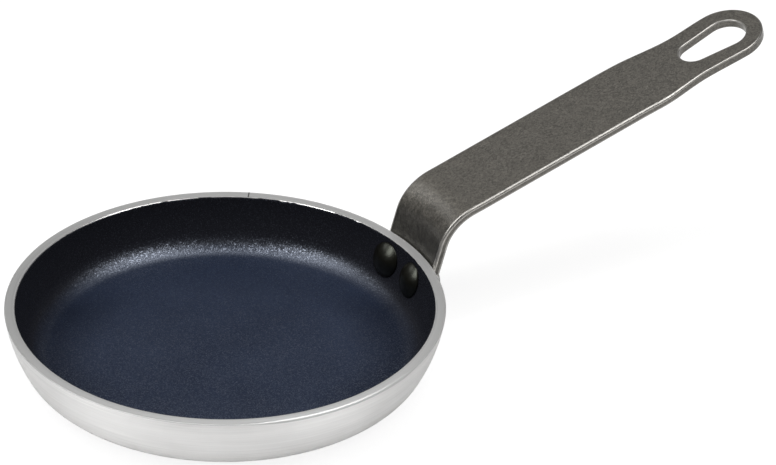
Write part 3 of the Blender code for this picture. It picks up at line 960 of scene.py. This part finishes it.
def drill(item):
    """Cuts the two rivet holes through a piece of the wall."""
    cutters = []
    for side in (1, -1):
        mesh = bpy.data.meshes.new("hole")
        shape = bmesh.new()
        bmesh.ops.create_cone(shape, cap_ends=True, segments=HOLE_STEPS, radius1=RIVET_HOLE_RADIUS,
                              radius2=RIVET_HOLE_RADIUS, depth=DRILL_DEPTH)
        shape.to_mesh(mesh)
        shape.free()
        cutter = new_object("hole", mesh)
        cutter.matrix_world = rivet_frame(side)
        cut = item.modifiers.new("hole", 'BOOLEAN')
        cut.object = cutter
        cutters.append(cutter)
    drilled = item.evaluated_get(bpy.context.evaluated_depsgraph_get())
    mesh = bpy.data.meshes.new_from_object(drilled)
    item.modifiers.clear()
    item.data = mesh
    for cutter in cutters:
        bpy.data.objects.remove(cutter)


# Stage

def diffuse(tree, grey):
    node = tree.nodes.new("ShaderNodeBsdfDiffuse")
    node.inputs["Color"].default_value = (grey, grey, grey, 1)
    return node.outputs[0]


def glowing(tree, grey, glow):
    """A diffuse grey that also gives off light of its own, so that its shadows stay pale."""
    light = tree.nodes.new("ShaderNodeEmission")
    if isinstance(glow, bpy.types.NodeSocket):
        tree.links.new(glow, light.inputs["Strength"])
    else:
        light.inputs["Strength"].default_value = glow
    both = tree.nodes.new("ShaderNodeAddShader")
    tree.links.new(diffuse(tree, grey), both.inputs[0])
    tree.links.new(light.outputs[0], both.inputs[1])
    return both.outputs[0]


def along(tree, place, direction):
    """How far the place lies along a unit direction."""
    reach = tree.nodes.new("ShaderNodeVectorMath")
    reach.operation = 'DOT_PRODUCT'
    tree.links.new(place, reach.inputs[0])
    reach.inputs[1].default_value = direction
    return reach.outputs["Value"]


def ramp(tree, value, low, high, to_low, to_high):
    node = tree.nodes.new("ShaderNodeMapRange")
    tree.links.new(value, node.inputs["Value"])
    for socket, number in (("From Min", low), ("From Max", high), ("To Min", to_low), ("To Max", to_high)):
        node.inputs[socket].default_value = number
    return node.outputs[0]


def front_glow(tree):
    """The sheet's own light in mirrors, stronger where it comes forward of the pan."""
    place = tree.nodes.new("ShaderNodeTexCoord").outputs["Object"]
    return ramp(tree, along(tree, place, level_direction(FRONT_BEARING)), FRONT_NEAR, FRONT_FAR, *FRONT_GLOW)


def mix_shaders(tree, share, first, second):
    pick = tree.nodes.new("ShaderNodeMixShader")
    tree.links.new(share, pick.inputs[0])
    tree.links.new(first, pick.inputs[1])
    tree.links.new(second, pick.inputs[2])
    return pick.outputs[0]


def build_floor():
    mesh = bpy.data.meshes.new("floor")
    shape = bmesh.new()
    bmesh.ops.create_grid(shape, x_segments=1, y_segments=1, size=SHEET_REACH)
    shape.to_mesh(mesh)
    shape.free()
    material = bpy.data.materials.new("floor_white")
    material.use_nodes = True
    tree = material.node_tree
    tree.nodes.clear()
    out = tree.nodes.new("ShaderNodeOutputMaterial")
    light_path = tree.nodes.new("ShaderNodeLightPath")
    mirrored = tree.nodes.new("ShaderNodeMath")
    mirrored.operation = 'ADD'
    mirrored.use_clamp = True
    tree.links.new(light_path.outputs["Is Glossy Ray"], mirrored.inputs[0])
    tree.links.new(light_path.outputs["Is Transmission Ray"], mirrored.inputs[1])
    in_mirror = mix_shaders(tree, mirrored.outputs[0], diffuse(tree, SHEET_GREY),
                            glowing(tree, MIRRORED_SHEET_GREY, front_glow(tree)))
    in_view = mix_shaders(tree, light_path.outputs["Is Camera Ray"], in_mirror,
                          glowing(tree, SEEN_SHEET_GREY, SEEN_SHEET_GLOW))
    tree.links.new(in_view, out.inputs[0])
    floor = new_object("floor", mesh, material)
    floor.location.z = -SHEET_DROP


def build_lamp(name, from_zenith, bearing, spin, size, radiance):
    """A soft rectangular lamp that faces the pan, turned about its own axis, with its brightness per area."""
    lamp = bpy.data.lights.new(name, 'AREA')
    lamp.shape = 'RECTANGLE'
    lamp.size, lamp.size_y = size
    lamp.energy = radiance * math.pi * lamp.size * lamp.size_y
    item = new_object(name, lamp)
    lean = math.radians(from_zenith)
    turn = math.radians(bearing)
    direction = Vector((math.sin(lean) * math.cos(turn), math.sin(lean) * math.sin(turn), math.cos(lean)))
    item.location = LAMPS_AIM + direction * LAMP_DISTANCE
    item.rotation_mode = 'QUATERNION'
    item.rotation_quaternion = direction.to_track_quat('Z', 'Y') @ Quaternion((0, 0, 1), math.radians(spin))


def build_world():
    """A dim room with a pale backdrop: the light falls off from the backdrop's middle on all sides."""
    world = bpy.data.worlds.new("studio")
    bpy.context.scene.world = world
    world.use_nodes = True
    tree = world.node_tree
    back = tree.nodes["Background"]
    back.inputs["Color"].default_value = (1.0, 1.0, 1.0, 1.0)
    turn = math.radians(BACKDROP_BEARING)
    rise = math.radians(BACKDROP_ELEVATION)
    coords = tree.nodes.new("ShaderNodeTexCoord").outputs["Generated"]
    middle = (math.cos(rise) * math.cos(turn), math.cos(rise) * math.sin(turn), math.sin(rise))
    light = ramp(tree, along(tree, coords, middle), BACKDROP_EDGE, 1.0, ROOM_LIGHT, BACKDROP_LIGHT)
    tree.links.new(light, back.inputs["Strength"])


def build_camera():
    data = bpy.data.cameras.new("photo_camera")
    data.sensor_width = SENSOR_WIDTH
    data.lens = FOCAL_PIXELS / FRAME_WIDTH * SENSOR_WIDTH
    data.clip_end = CAMERA_CLIP_END
    camera = new_object("photo_camera", data)
    right = Vector((1, 0, 0))
    up = Vector((0, math.sin(CAMERA_ELEVATION), math.cos(CAMERA_ELEVATION)))
    back = Vector((0, -math.cos(CAMERA_ELEVATION), math.sin(CAMERA_ELEVATION)))
    place = back * CAMERA_DISTANCE + right * CAMERA_RIGHT + up * CAMERA_UP
    rolled_right = right * math.cos(CAMERA_ROLL) + up * math.sin(CAMERA_ROLL)
    rolled_up = up * math.cos(CAMERA_ROLL) - right * math.sin(CAMERA_ROLL)
    turn = Matrix((rolled_right, rolled_up, back)).transposed().to_4x4()
    camera.matrix_world = Matrix.Rotation(CAMERA_AZIMUTH, 4, 'Z') @ Matrix.Translation(place) @ turn
    bpy.context.scene.camera = camera


pan = build_pan()
lining = build_coating()
bar = build_handle()
heads = (dark_head(), bare_head())
rivet_left = build_rivet("rivet_left_fine", 1, *heads)
rivet_right = build_rivet("rivet_right_fine", -1, *heads)
drill(pan)
drill(lining)

PIECES = ((pan, "pan_body", "body_aluminium"),
          (lining, "nonstick_lining", "interior_coating"),
          (bar, "handle", "handle_coating"),
          (rivet_left, "rivet_left", "rivet_metal"),
          (rivet_right, "rivet_right", "rivet_metal"))
for piece, node, slot in PIECES:
    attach(piece, "root")
    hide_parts(node)

build_floor()
build_world()
for lamp in LAMPS:
    build_lamp(*lamp)
build_camera()
bpy.context.scene.view_settings.view_transform = 'Standard'
